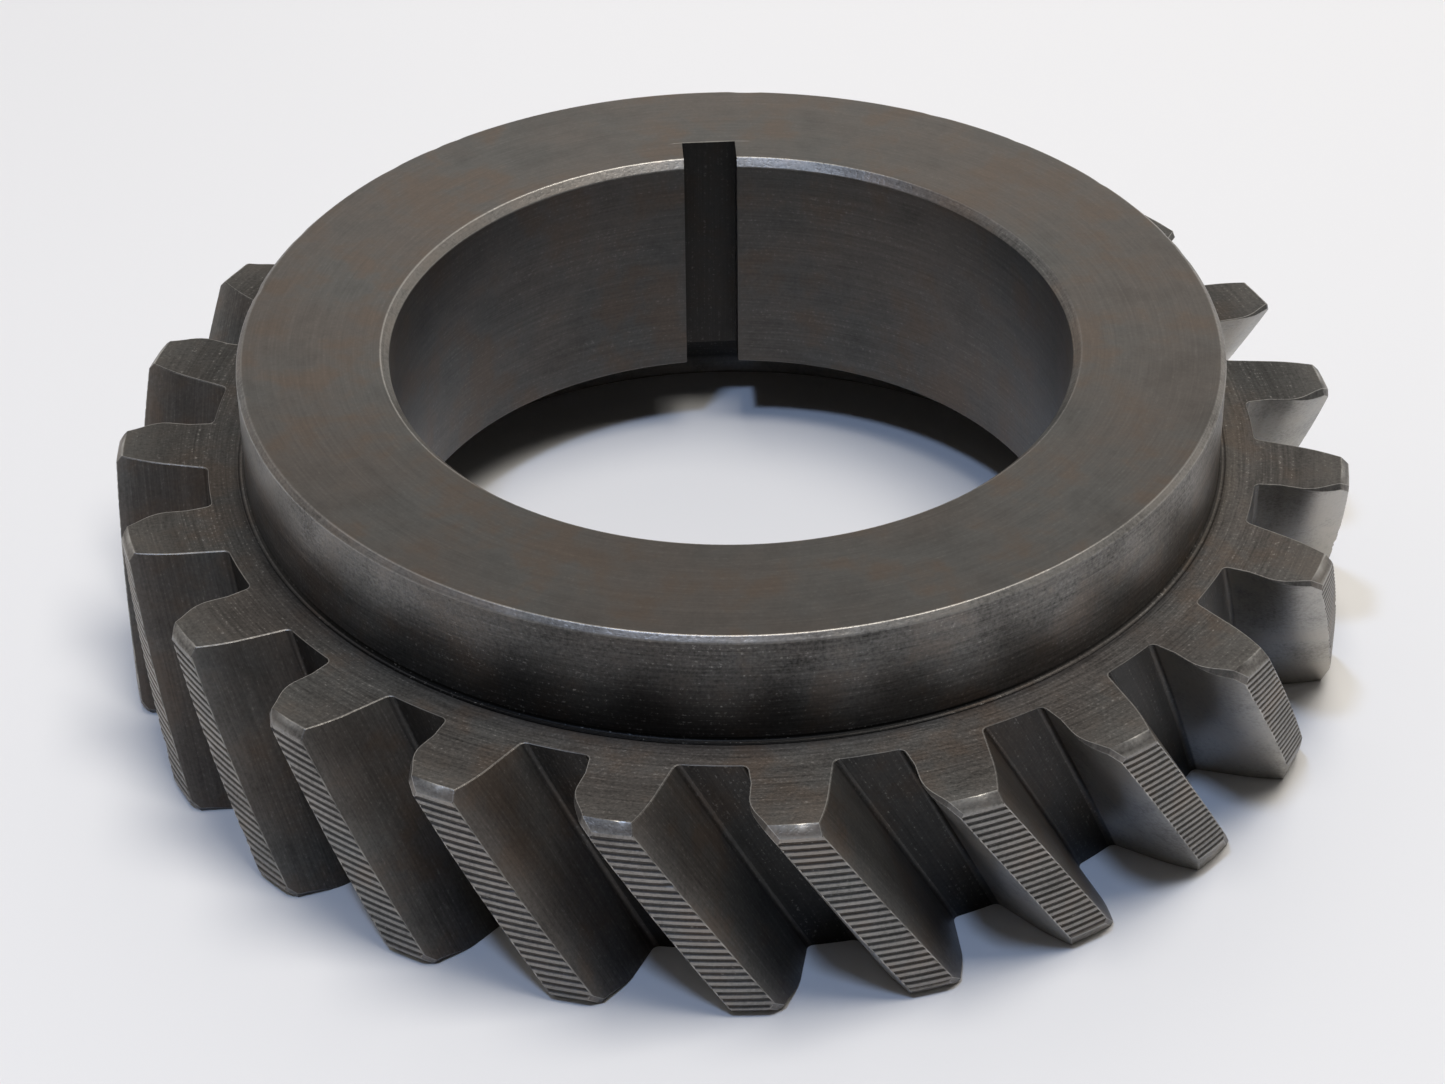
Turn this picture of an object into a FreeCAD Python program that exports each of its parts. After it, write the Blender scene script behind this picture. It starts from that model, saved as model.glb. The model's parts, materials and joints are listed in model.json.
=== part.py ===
import FreeCAD, Part
import math
import os

import Sketcher

# Left-hand helical timing gear, machined from one steel forging.
#
# Frame: the bore's axis is Z, the rear face of the teeth rests on Z = 0 and the hub
# stands up towards +Z.  The keyway is on +Y, and half way along the face width one
# tooth is centred on it.  Lengths are in millimetres and angles in degrees.

NODE = "helical_gear"

# How Sketcher numbers the points of a line, arc or curve, and the sketch's own origin.
START = 1
END = 2
CENTRE = 3
ORIGIN = (-1, START)

POLE_WEIGHT = 1.0                  # every control point of a flank pulls alike
SAME = 1e-4                        # lengths closer than this are the same edge's

SIZES = {
    "tooth_count": 23,
    "diametral_pitch": 7,          # normal plane, teeth per inch
    "pressure_angle": 14.5,        # normal plane
    "helix_angle": 30.75,          # at the pitch circle, left hand
    "depth_factor": 2.157,         # whole depth of the teeth, in normal modules
    "flank_clearance": 0.1,        # how far each flank stands back for backlash
    "root_fillet": 1.0,
    "tip_chamfer": 0.6,            # at both ends of every tooth
    "face_width": 18.8,            # length of the teeth along the axis
    "overall_height": 28.6,        # rear face to hub face
    "hub_diameter": 82.55,
    "hub_chamfer": 0.45,
    "hub_fillet": 0.8,             # between the hub's wall and the tooth face
    "bore_diameter": 57.15,
    "bore_chamfer": 0.7,
    "recess_diameter": 73.6,       # counterbore in the rear face
    "recess_depth": 7.1,
    "recess_fillet": 1.2,
    "recess_chamfer": 0.5,
    "keyway_width": 4.76,
    "keyway_depth": 3.3,           # beyond the bore's wall
    "cutter_overrun": 1.0,         # how far the tooth cutter runs past both faces
    "cutter_clearance": 0.6,       # and how far it stands out past the tips
}

# What follows from the driving sizes: (name, property type, expression).
DERIVED = [
    ("normal_module", "App::PropertyLength", "25.4 / Sizes.diametral_pitch"),
    ("pitch_radius", "App::PropertyLength",
     "Sizes.tooth_count * .normal_module / cos(Sizes.helix_angle) / 2"),
    ("tip_radius", "App::PropertyLength", ".pitch_radius + .normal_module"),
    ("root_radius", "App::PropertyLength",
     ".tip_radius - Sizes.depth_factor * .normal_module"),
    ("transverse_angle", "App::PropertyAngle",
     "atan(tan(Sizes.pressure_angle) / cos(Sizes.helix_angle))"),
    ("base_radius", "App::PropertyLength", ".pitch_radius * cos(.transverse_angle)"),
    ("lead", "App::PropertyLength", "2 * pi * .pitch_radius / tan(Sizes.helix_angle)"),
    # half the angle of a tooth space at the base circle
    ("space_angle", "App::PropertyAngle",
     "(90 / Sizes.tooth_count + Sizes.flank_clearance * 1 mm / .pitch_radius * 180 / pi"
     " - tan(.transverse_angle) * 180 / pi) * 1 deg + .transverse_angle"),
]

doc = FreeCAD.newDocument(NODE)


def add_sizes():
    """The driving sizes, in a spreadsheet whose cells are known by alias."""
    sheet = doc.addObject("Spreadsheet::Sheet", "Sizes")
    for row, (alias, value) in enumerate(SIZES.items(), start=1):
        sheet.set(f"A{row}", alias)
        sheet.set(f"B{row}", str(value))
        sheet.setAlias(f"B{row}", alias)
    doc.recompute()


def add_derived():
    """The gear's working radii and angles, bound to the spreadsheet."""
    gear = doc.addObject("App::VarSet", "Gear")
    for name, kind, expression in DERIVED:
        gear.addProperty(kind, name, "Gear")
        gear.setExpression(name, expression)
        doc.recompute()


def origin_item(body, role):
    """One of the body's own origin planes or axes."""
    return next(item for item in body.Origin.OriginFeatures if item.Role == role)


def add_sketch(body, name, plane):
    sketch = body.newObject("Sketcher::SketchObject", name)
    sketch.AttachmentSupport = [(origin_item(body, plane), "")]
    sketch.MapMode = "FlatFace"
    return sketch


def value_of(expression):
    """What an expression comes to, as a plain number."""
    result = doc.Gear.evalExpression(expression)
    return float(getattr(result, "Value", result))


def pin(sketch, geometry, end, across, up):
    """Holds one point of a sketch at two expressions measured from the origin."""
    for kind, expression in (("DistanceX", across), ("DistanceY", up)):
        constraint = Sketcher.Constraint(
            kind, *ORIGIN, geometry, end, value_of(expression)
        )
        number = sketch.addConstraint(constraint)
        sketch.setExpression(f"Constraints[{number}]", expression)


def add_polygon(sketch, corners):
    """A closed outline of straight lines through corners given as expressions."""
    points = [FreeCAD.Vector(value_of(x), value_of(y), 0) for x, y in corners]
    for start, end in zip(points, points[1:] + points[:1]):
        sketch.addGeometry(Part.LineSegment(start, end))
    for line in range(len(corners)):
        following = (line + 1) % len(corners)
        sketch.addConstraint(Sketcher.Constraint("Coincident", line, END, following, START))
    for line, (across, up) in enumerate(corners):
        pin(sketch, line, START, across, up)


def circle_edges(shape, circles):
    """Names of the circular edges of a shape at given (radius, height) pairs."""
    names = []
    for number, edge in enumerate(shape.Edges, start=1):
        curve = edge.Curve
        if not isinstance(curve, Part.Circle):
            continue
        for radius, height in circles:
            if abs(curve.Radius - radius) < SAME and abs(curve.Center.z - height) < SAME:
                names.append(f"Edge{number}")
    return names


def dress(body, kind, name, size, circles):
    """A fillet or chamfer on the circular edges at (radius, height) expressions."""
    doc.recompute()
    base = body.Tip
    wanted = [(value_of(radius), value_of(height)) for radius, height in circles]
    edges = circle_edges(base.Shape, wanted)
    if len(edges) != len(circles):
        raise RuntimeError(f"{name}: {len(edges)} edges found for {len(circles)} circles")
    feature = body.newObject(f"PartDesign::{kind}", name)
    feature.Base = (base, edges)
    feature.setExpression("Radius" if kind == "Fillet" else "Size", f"Sizes.{size}")


def add_blank():
    """The turned forging before its teeth are cut: hub, toothed rim, bore, recess, keyway."""
    body = doc.addObject("PartDesign::Body", "gear_blank")

    bore = "Sizes.bore_diameter / 2"
    hub = "Sizes.hub_diameter / 2"
    recess = "Sizes.recess_diameter / 2"
    rim = "Gear.tip_radius"
    rear = "0 mm"
    recess_floor = "Sizes.recess_depth"
    tooth_face = "Sizes.face_width"
    hub_face = "Sizes.overall_height"

    section = add_sketch(body, "half_section", "XZ_Plane")
    add_polygon(section, [
        (recess, rear), (rim, rear), (rim, tooth_face), (hub, tooth_face),
        (hub, hub_face), (bore, hub_face), (bore, recess_floor), (recess, recess_floor),
    ])
    turning = body.newObject("PartDesign::Revolution", "turning")
    turning.Profile = section
    turning.ReferenceAxis = (origin_item(body, "Z_Axis"), [""])
    turning.Angle = 360

    dress(body, "Chamfer", "rim_chamfers", "tip_chamfer", [(rim, rear), (rim, tooth_face)])
    dress(body, "Chamfer", "hub_edge_chamfer", "hub_chamfer", [(hub, hub_face)])
    dress(body, "Chamfer", "bore_mouth_chamfer", "bore_chamfer", [(bore, hub_face)])
    dress(body, "Chamfer", "recess_mouth_chamfer", "recess_chamfer", [(recess, rear)])
    dress(body, "Fillet", "hub_root_fillet", "hub_fillet", [(hub, tooth_face)])
    dress(body, "Fillet", "recess_corner_fillet", "recess_fillet", [(recess, recess_floor)])

    doc.recompute()
    outline = add_sketch(body, "keyway_outline", "XY_Plane")
    side = "Sizes.keyway_width / 2"
    bottom = "Sizes.bore_diameter / 2 + Sizes.keyway_depth"
    add_polygon(outline, [
        (f"-{side}", "0 mm"), (side, "0 mm"), (side, bottom), (f"-{side}", bottom),
    ])
    keyway = body.newObject("PartDesign::Pocket", "keyway")
    keyway.Profile = outline
    keyway.Type = "ThroughAll"
    keyway.Midplane = True
    return body


def involute(roll):
    """A flank's point at a roll angle in radians, as expressions (across, up)."""
    turn = f"(Gear.space_angle + {roll} * 180 / pi * 1 deg)"
    across = f"Gear.base_radius * (sin{turn} - {roll} * cos{turn})"
    up = f"Gear.base_radius * (cos{turn} + {roll} * sin{turn})"
    return across, up


def involute_pole(roll, step):
    """The control point a third of a step along the flank's tangent at a roll angle."""
    turn = f"(Gear.space_angle + {roll} * 180 / pi * 1 deg)"
    reach = f"Gear.base_radius * {roll} * {step} / 3"
    across, up = involute(roll)
    return f"{across} + {reach} * sin{turn}", f"{up} + {reach} * cos{turn}"


def add_flank(sketch, poles):
    """An involute flank: one cubic curve held by its four control points."""
    axis = FreeCAD.Vector(0, 0, 1)
    points = [FreeCAD.Vector(value_of(across), value_of(up), 0) for across, up in poles]
    curve = Part.BSplineCurve()
    curve.buildFromPolesMultsKnots(points, [4, 4], [0.0, 1.0], False, 3)
    flank = sketch.addGeometry(curve)
    first_handle = None
    for index, point in enumerate(points):
        handle = sketch.addGeometry(Part.Circle(point, axis, POLE_WEIGHT), True)
        if first_handle is None:
            first_handle = handle
            sketch.addConstraint(Sketcher.Constraint("Weight", handle, POLE_WEIGHT))
        else:
            sketch.addConstraint(Sketcher.Constraint("Equal", first_handle, handle))
        sketch.addConstraint(Sketcher.Constraint(
            "InternalAlignment:Sketcher::BSplineControlPoint", handle, CENTRE, flank, index
        ))
        pin(sketch, handle, CENTRE, *poles[index])
    return flank


def add_tooth_space_outline(body):
    """One tooth space in the plane of rotation, centred on the sketch's own Y axis.

    Outside the base circle each flank is an involute.  Inside it the flank runs
    straight towards the axis and turns into the root through a fillet.
    """
    sketch = add_sketch(body, "tooth_space_outline", "XY_Plane")
    axis = FreeCAD.Vector(0, 0, 1)

    first_roll = "0.08"
    outer_radius = "(Gear.tip_radius + Sizes.cutter_clearance * 1 mm)"
    last_roll = f"sqrt(({outer_radius} / Gear.base_radius) ^ 2 - 1)"
    step = f"({last_roll} - {first_roll})"
    poles = [
        involute(first_roll),
        involute_pole(first_roll, step),
        involute_pole(last_roll, f"(-1) * {step}"),
        involute(last_roll),
    ]

    root = value_of("Gear.root_radius")
    fillet = value_of("Sizes.root_fillet")
    foot_x, foot_y = (value_of(part) for part in poles[0])
    foot_angle = math.atan2(foot_x, foot_y)
    corner_angle = foot_angle - math.asin(fillet / (root + fillet))
    corner_x = (root + fillet) * math.sin(corner_angle)
    corner_y = (root + fillet) * math.cos(corner_angle)
    straight = math.sqrt((root + fillet) ** 2 - fillet ** 2)

    bottom = sketch.addGeometry(Part.ArcOfCircle(
        Part.Circle(FreeCAD.Vector(), axis, root),
        math.pi / 2 - corner_angle,
        math.pi / 2 + corner_angle,
    ))
    sketch.addConstraint(Sketcher.Constraint("Coincident", bottom, CENTRE, *ORIGIN))
    radius = sketch.addConstraint(Sketcher.Constraint("Radius", bottom, root))
    sketch.setExpression(f"Constraints[{radius}]", "Gear.root_radius")

    flanks = []
    for side, bottom_end in ((1, START), (-1, END)):
        at_bottom = math.atan2(-math.cos(corner_angle), -side * math.sin(corner_angle))
        at_flank = math.atan2(-math.sin(foot_angle), side * math.cos(foot_angle))
        start, end = (at_bottom, at_flank) if side > 0 else (at_flank, at_bottom)
        corner = sketch.addGeometry(Part.ArcOfCircle(
            Part.Circle(FreeCAD.Vector(side * corner_x, corner_y, 0), axis, fillet),
            start,
            end,
        ))
        line = sketch.addGeometry(Part.LineSegment(
            FreeCAD.Vector(
                side * straight * math.sin(foot_angle), straight * math.cos(foot_angle), 0
            ),
            FreeCAD.Vector(side * foot_x, foot_y, 0),
        ))
        side_poles = poles if side > 0 else [(f"-1 * ({x})", y) for x, y in poles]
        flank = add_flank(sketch, side_poles)
        root_end, flank_end = (START, END) if side > 0 else (END, START)
        for constraint in (
            Sketcher.Constraint("Tangent", corner, root_end, bottom, bottom_end),
            Sketcher.Constraint("Tangent", corner, flank_end, line, START),
            Sketcher.Constraint("Coincident", line, END, flank, START),
            Sketcher.Constraint("PointOnObject", *ORIGIN, line),
        ):
            sketch.addConstraint(constraint)
        radius = sketch.addConstraint(Sketcher.Constraint("Radius", corner, fillet))
        sketch.setExpression(f"Constraints[{radius}]", "Sizes.root_fillet")
        flanks.append(flank)

    top_x, top_y = (value_of(part) for part in poles[-1])
    closing = sketch.addGeometry(Part.LineSegment(
        FreeCAD.Vector(top_x, top_y, 0), FreeCAD.Vector(-top_x, top_y, 0)
    ))
    sketch.addConstraint(Sketcher.Constraint("Coincident", flanks[0], END, closing, START))
    sketch.addConstraint(Sketcher.Constraint("Coincident", flanks[1], END, closing, END))

    # The outline starts below the rear face.  Half way along the face width it stands
    # half a pitch from +Y, which leaves a tooth centred on the keyway.
    sketch.setExpression("AttachmentOffset.Base.z", "-Sizes.cutter_overrun")
    sketch.setExpression(
        "AttachmentOffset.Rotation.Angle",
        "180 / Sizes.tooth_count"
        " + (Sizes.face_width / 2 + Sizes.cutter_overrun) * 1 mm * 360 / Gear.lead",
    )
    return sketch


def add_tooth_spaces():
    """All the tooth spaces, as helical bars to be cut from the blank."""
    body = doc.addObject("PartDesign::Body", "tooth_spaces")
    axis = (origin_item(body, "Z_Axis"), [""])
    outline = add_tooth_space_outline(body)
    doc.recompute()
    bar = body.newObject("PartDesign::AdditiveHelix", "tooth_space")
    bar.Profile = outline
    bar.ReferenceAxis = axis
    bar.Mode = "pitch-height-angle"
    bar.LeftHanded = True
    bar.setExpression("Pitch", "Gear.lead")
    bar.setExpression("Height", "Sizes.face_width + 2 * Sizes.cutter_overrun")
    doc.recompute()
    ring = body.newObject("PartDesign::PolarPattern", "tooth_space_ring")
    ring.Originals = [bar]
    ring.Axis = axis
    ring.Angle = 360
    ring.setExpression("Occurrences", "Sizes.tooth_count")
    body.Tip = ring
    return body


def check(sub_parts):
    """Stops before anything is written if a feature failed or a solid is bad."""
    for item in doc.Objects:
        if "Invalid" in item.State or "Error" in item.State:
            raise RuntimeError(f"{item.Name} did not compute: {item.State}")
    for part in sub_parts:
        shape = part.Shape
        if shape.isNull() or not shape.isValid() or len(shape.Solids) != 1:
            raise RuntimeError(f"{part.Label} is not one valid solid")
        print(part.Label, round(shape.Volume), "mm3", shape.BoundBox)


def main():
    add_sizes()
    add_derived()
    gear = doc.addObject("Part::Cut", "gear")
    gear.Base = add_blank()
    gear.Tool = add_tooth_spaces()
    gear.Label = NODE
    gear.Placement = FreeCAD.Placement()
    doc.recompute()
    check([gear])
    os.makedirs("parts", exist_ok=True)
    gear.Shape.exportStep(f"parts/{gear.Label}.step")


main()
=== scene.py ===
import json
import math

import bmesh
import bpy
import numpy as np
from mathutils import Matrix, Vector


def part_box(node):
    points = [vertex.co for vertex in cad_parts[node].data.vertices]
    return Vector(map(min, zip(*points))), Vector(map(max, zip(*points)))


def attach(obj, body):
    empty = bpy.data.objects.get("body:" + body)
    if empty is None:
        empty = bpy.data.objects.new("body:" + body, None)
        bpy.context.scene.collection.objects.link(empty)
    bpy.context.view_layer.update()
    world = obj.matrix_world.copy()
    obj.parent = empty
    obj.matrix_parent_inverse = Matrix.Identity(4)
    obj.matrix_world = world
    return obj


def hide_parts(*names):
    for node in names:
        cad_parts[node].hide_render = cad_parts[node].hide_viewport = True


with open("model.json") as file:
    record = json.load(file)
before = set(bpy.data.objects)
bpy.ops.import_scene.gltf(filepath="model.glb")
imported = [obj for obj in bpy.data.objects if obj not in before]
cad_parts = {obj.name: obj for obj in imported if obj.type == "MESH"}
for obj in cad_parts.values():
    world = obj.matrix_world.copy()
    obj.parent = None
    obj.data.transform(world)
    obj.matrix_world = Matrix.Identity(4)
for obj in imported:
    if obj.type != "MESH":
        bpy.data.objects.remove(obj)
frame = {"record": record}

# A left-hand helical timing gear of dark, oiled, heat-treated steel.  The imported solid
# gives its size; here the same form is built again as one closed mesh that also carries
# the turned ridges on the tooth tips, the bevels, the tooth spaces' wider upper ends, the
# groove at the hub's foot and the dents.
#
# Lengths are in millimetres until the mesh is made, angles in radians.

MM = 0.001
NODE = "helical_gear"
FULL_TURN = 2 * math.pi

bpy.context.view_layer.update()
GEAR_LOW, GEAR_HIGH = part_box(NODE)
MOUNTS = {mount["name"]: mount for mount in frame["record"]["mounts"]}

# ---- sizes of the gear, as designed ----
TEETH = 23
NORMAL_MODULE = 25.4 / 7
PRESSURE_ANGLE = math.radians(14.5)
HELIX_ANGLE = math.radians(30.75)
WHOLE_DEPTH = 2.157 * NORMAL_MODULE
FLANK_CLEARANCE = 0.1
ROOT_FILLET = 0.6
FOOT_ROLL = 0.27          # where a flank's involute starts; inside, it goes on straight
FACE_WIDTH = 18.8
HEIGHT = (GEAR_HIGH.z - GEAR_LOW.z) / MM
HUB_RADIUS = 41.275
HUB_CHAMFER = 0.45
BORE_RADIUS = MOUNTS["bore"]["dims"]["r_mm"]
BORE_CHAMFER = 0.7
RECESS_RADIUS = 36.8
RECESS_DEPTH = 7.1
RECESS_FILLET = 1.2
RECESS_CHAMFER = 0.5
KEY_HALF_WIDTH = 2.38
KEY_BOTTOM = BORE_RADIUS + 3.3
KEY_CORNER = math.hypot(KEY_BOTTOM, KEY_HALF_WIDTH)

PITCH = FULL_TURN / TEETH
PITCH_RADIUS = TEETH * NORMAL_MODULE / math.cos(HELIX_ANGLE) / 2
TIP_RADIUS = PITCH_RADIUS + NORMAL_MODULE
ROOT_RADIUS = TIP_RADIUS - WHOLE_DEPTH
TRANSVERSE_ANGLE = math.atan(math.tan(PRESSURE_ANGLE) / math.cos(HELIX_ANGLE))
BASE_RADIUS = PITCH_RADIUS * math.cos(TRANSVERSE_ANGLE)
TWIST = math.tan(HELIX_ANGLE) / PITCH_RADIUS      # turn of the teeth for each mm of height
HALF_TOOTH_AT_BASE = (
    PITCH / 4 - FLANK_CLEARANCE / PITCH_RADIUS
    + math.tan(TRANSVERSE_ANGLE) - TRANSVERSE_ANGLE
)

# ---- the small features of the real surface ----
BURR = 0.05               # the least bevel on any edge
LONG_EDGE = 0.06          # bevel between a tooth's tip land and its flanks
GUARD = 0.12              # how far a worn edge's brightness reaches from it
TIP_CHAMFER = 0.57        # on the tips of the teeth, at either end: the mean round the gear
CHAMFER_SWING = 0.14      # how far that chamfer differs from its mean, at most
UPPER_SLOPE = 1.15        # drop of the tip chamfer for each mm outwards, on the upper faces
REAR_SLOPE = 1.2          # the same on the rear faces
STEEPER = 2.6             # what is added to the rear slope at the gear's right
ACUTE_BEVEL = 0.55        # the hand-dressed bevel on each tooth's acute edge, at its widest
BEVEL_START = 1.5         # above the base circle: where that bevel starts to widen
BEVEL_FULL = 0.8          # below the tip circle: where it is widest
RIDGE_PITCH = 0.68        # turned ridges on the tip lands
RIDGE_DEPTH = 0.09
RIDGE_STEPS = (0.42, 0.58, 0.84)    # shares of the pitch: land's end, groove's floor, its end
TIP_MARGIN = 0.1          # from the end of a tip land to its first ridge
HUB_FOOT = 0.3            # fillet at the foot of the hub's wall
FOOT_GROOVE = 0.18        # half the width of the fine groove outside that fillet
GROOVE_DEPTH = 0.06
ROOT_CUT = 1.4            # how much wider a space's bottom is cut at the upper end
CUT_START = 0.5           # above the root circle: where that cut starts to fade
CUT_END = 6.0             # above the root circle: where it has faded
HUB_DENTS = 24
TOOTH_DENTS = 50

# ---- how finely each stretch is divided ----
INVOLUTE_ROWS = 8         # down a flank, from the tip chamfer to the involute's start
FILLET_ROWS = 5           # round a root fillet
TOOTH_COLUMNS = 6         # across a tooth
BEVEL_SHARES = np.array([0.0, 0.12, 0.88, 1.0])    # columns across the bevels of a tooth
GUARD_SHARE = 0.015       # of a tooth's thickness, next to those bevels
ROOT_COLUMNS = 6          # across the bottom of a tooth space
ROOT_COLUMN_WIDTH = 0.6   # roughly, for the marks there
FLANK_LEVELS = 18         # along the flanks, from the rear to the upper face
KEY_COLUMNS = 6           # on each side of the keyway's middle
KEY_DEPTH_ROWS = 3        # from the keyway's bottom to the bore's wall
WELD = 0.001              # points closer than this are one point
SAME = 1e-6               # lengths closer than this are equal
ROW_GAP = 0.003           # the least distance between two rows of a tip land
SHARPEST_SMOOTH = math.radians(24)    # edges that turn by more than this are sharp
COLUMNS = TEETH * (TOOTH_COLUMNS + 2 + ROOT_COLUMNS)    # round the turned body

# Each point of the surface carries two vectors that its material reads.
# Grain: two coordinates along the tool marks and one across them, in millimetres.
# Tone: how worn and bright, with painted sheen in places; how rough and pitted; how dark with
# oil and soot and with painted shade (0 to 1).
OWN_MARKS = 17.0          # these three set the marks of each flank and space apart
SIDE_MARKS = 5.0
SPACE_MARKS = 9.0
WORN_EDGE = (0.8, 0.0, 0.0)
ROOT_EDGE = (0.4, 0.0, 0.0)
# The keyway's bottom is dark with painted shade.
KEYWAY_BOTTOM_SHADE = (0.0, 0.1, 1.0)
LOW_BEVEL_WORN = (0.95, 0.2, 0.2, 0.95)    # across a tooth's bevels, from its edge inwards
HIGH_BEVEL_WORN = (0.8, 0.15, 0.15, 0.7)
RIDGE_WORN = 0.35         # on the ridges' tops
GROOVE_SHADE = 0.7         # painted shade between the ridges
FACE_ROUGH = 0.55         # the teeth's end faces and the rings between them and the body
SPACE_SHADE = 0.98         # painted shade at the bottoms of the tooth spaces, at the rear; a little less towards the upper face
RECESS_SHADE = 0.95        # painted shade in the counterbore
BY_KEY = 0.1              # radians from the keyway's middle, just past its sides

# ---- colours, and what the steel's material reads from its noises ----
WARM_STEEL = (0.166, 0.149, 0.136, 1)
COOL_STEEL = (0.150, 0.148, 0.142, 1)
BROWN_STAIN = (0.150, 0.119, 0.097, 1)
BARE_STEEL = (0.50, 0.485, 0.455, 1)
TABLE_WHITE = (0.80, 0.80, 0.81, 1)
TABLE_ROUGHNESS = 0.32
DARK_TONE_DARKENS = 0.88       # share of the light that the oil, soot and painted shade take where dark is 1
FINE_MARKS = (0.10, 0.10, 5.5)      # noise cells for each mm: two along, one across
BROAD_MARKS = (0.05, 0.05, 1.1)
DASHES = (0.5, 0.5, 3.0)
CLOUDS = 70.0             # noise cells for each metre of the gear
BLOTCHES = 190.0
SPECKS = 3400.0
PITS = 2600.0

# ---- the stage, in metres and watts ----
WINDOW_BLUE = (0.48, 0.65, 1.0)
CEILING_WHITE = (1.0, 0.95, 0.87)
ROOM_WHITE = (1.0, 0.95, 0.88)
FLOOR_RADIUS = 4.0
LENS = 98.53              # millimetres, on a sensor 36 mm wide
CAMERA_DISTANCE = 0.33084           # from the middle of the hub face
CAMERA_ASIDE = -0.000695
CAMERA_ABOVE = -0.017173
CAMERA_AZIMUTH = math.radians(266.75)
CAMERA_ELEVATION = math.radians(36.39)
CAMERA_ROLL = math.radians(-0.51)


class Surface:
    """Grids of points that meet along shared lines, joined into one closed mesh."""

    def __init__(self):
        self.points = []
        self.grain = []
        self.tone = []
        self.faces = []
        self.count = 0

    def add_points(self, points, grain, tone):
        first = self.count
        self.points.append(points.reshape(-1, 3))
        self.grain.append(grain.reshape(-1, 3))
        self.tone.append(np.broadcast_to(tone, points.shape).reshape(-1, 3))
        self.count += points.size // 3
        return first

    def grid(self, points, grain, tone):
        """A sheet of four-sided faces through rows and columns of points."""
        rows, columns = points.shape[:2]
        first = self.add_points(points, grain, tone)
        index = first + np.arange(rows * columns).reshape(rows, columns)
        corners = (index[:-1, :-1], index[:-1, 1:], index[1:, 1:], index[1:, :-1])
        self.faces.extend(np.stack(corners, axis=-1).reshape(-1, 4).tolist())

    def stitch(self, fine, coarse, tone):
        """A strip of triangles between two lines of (points, grain) that rise in Z."""
        first = [self.add_points(points, grain, tone) for points, grain in (fine, coarse)]
        heights = [line[0][:, 2] for line in (fine, coarse)]
        at = [0, 0]
        while at[0] < len(heights[0]) - 1 or at[1] < len(heights[1]) - 1:
            ahead = [
                heights[side][at[side] + 1] if at[side] + 1 < len(heights[side]) else math.inf
                for side in (0, 1)
            ]
            step = 0 if ahead[0] <= ahead[1] else 1
            here = (first[0] + at[0], first[1] + at[1])
            self.faces.append([here[0], here[1], here[step] + 1])
            at[step] += 1

    def arrays(self):
        return (np.concatenate(part) for part in (self.points, self.grain, self.tone))


def smooth_step(value, low, high):
    share = np.clip((value - low) / (high - low), 0, 1)
    return share * share * (3 - 2 * share)


def near(value, place, width):
    """1 at a place, falling to 0 a width away from it."""
    return np.clip(1 - np.abs(value - place) / width, 0, 1)


def facing(angle, degrees, power=1):
    """1 on the side of the gear that looks in a direction, in degrees from +X, falling
    to 0 a quarter turn away from it."""
    return np.maximum(np.cos(angle - math.radians(degrees)), 0) ** power


def tones(wear_and_sheen, rough, dark):
    """Worn, rough and dark values of any shapes that fit together, side by side; the first
    holds wear and painted sheen, the last oil, soot and painted shade.
    """
    return np.stack(np.broadcast_arrays(wear_and_sheen, rough, dark), axis=-1).astype(float)


def polar(radius, angle, height):
    """Points from radii, angles and heights of any shapes that fit together."""
    radius, angle, height = np.broadcast_arrays(radius, angle, height)
    return np.stack([radius * np.cos(angle), radius * np.sin(angle), height], axis=-1)


def face_grain(points):
    """Marks that run round the axis on a flat face."""
    return np.stack(
        [points[..., 0], points[..., 1], np.hypot(points[..., 0], points[..., 1])], axis=-1
    )


# ---------------------------------------------------------------- teeth


def tooth_middle(tooth, height):
    """The angle at which a tooth's middle stands at a height."""
    return math.pi / 2 + tooth * PITCH - (height - FACE_WIDTH / 2) * TWIST


def half_tooth(radius):
    """Half the angle that a tooth fills, at a radius outside the base circle."""
    roll = np.sqrt(np.maximum((radius / BASE_RADIUS) ** 2 - 1, 0))
    return HALF_TOOTH_AT_BASE - (roll - np.arctan(roll))


def flank_outline(chamfer):
    """One flank from the tip land to the root, as complex numbers: real outwards along
    the tooth's middle line, imaginary across it.  Also the outward normals."""
    crease = TIP_RADIUS - chamfer
    foot = BASE_RADIUS * math.sqrt(1 + FOOT_ROLL ** 2)
    radii = np.concatenate([
        [TIP_RADIUS - LONG_EDGE, TIP_RADIUS - LONG_EDGE - GUARD / 2],
        [crease + GUARD, crease + BURR / 2, crease - BURR / 2, crease - GUARD],
        np.linspace(crease - GUARD, foot, INVOLUTE_ROWS)[1:],
    ])
    involute = radii * np.exp(1j * half_tooth(radii))

    along_foot = np.exp(1j * (half_tooth(foot) - math.atan(FOOT_ROLL)))
    inwards = -along_foot
    outwards = 1j * along_foot
    beside = involute[-1] + ROOT_FILLET * outwards
    reach = ROOT_RADIUS + ROOT_FILLET
    along = (beside * np.conj(inwards)).real
    run = -along - math.sqrt(along ** 2 - abs(beside) ** 2 + reach ** 2)
    corner = beside + run * inwards
    from_angle = np.angle(-outwards)
    sweep = (np.angle(-corner) - from_angle + math.pi) % FULL_TURN - math.pi
    turned = from_angle + sweep * np.linspace(0, 1, FILLET_ROWS)
    fillet = corner + ROOT_FILLET * np.exp(1j * turned)

    middle = (involute[-1] + fillet[0]) / 2
    outline = np.concatenate([involute, [middle], fillet])
    tangent = np.gradient(outline)
    tangent[-1] = 1j * outline[-1]
    return outline, -1j * tangent / np.abs(tangent)


def root_cut(radius):
    """How far a tooth's acute side stands back at the upper end, where the spaces are
    cut wider.  It fades towards the rear face."""
    return ROOT_CUT * (1 - smooth_step(radius, ROOT_RADIUS + CUT_START, ROOT_RADIUS + CUT_END))


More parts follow.
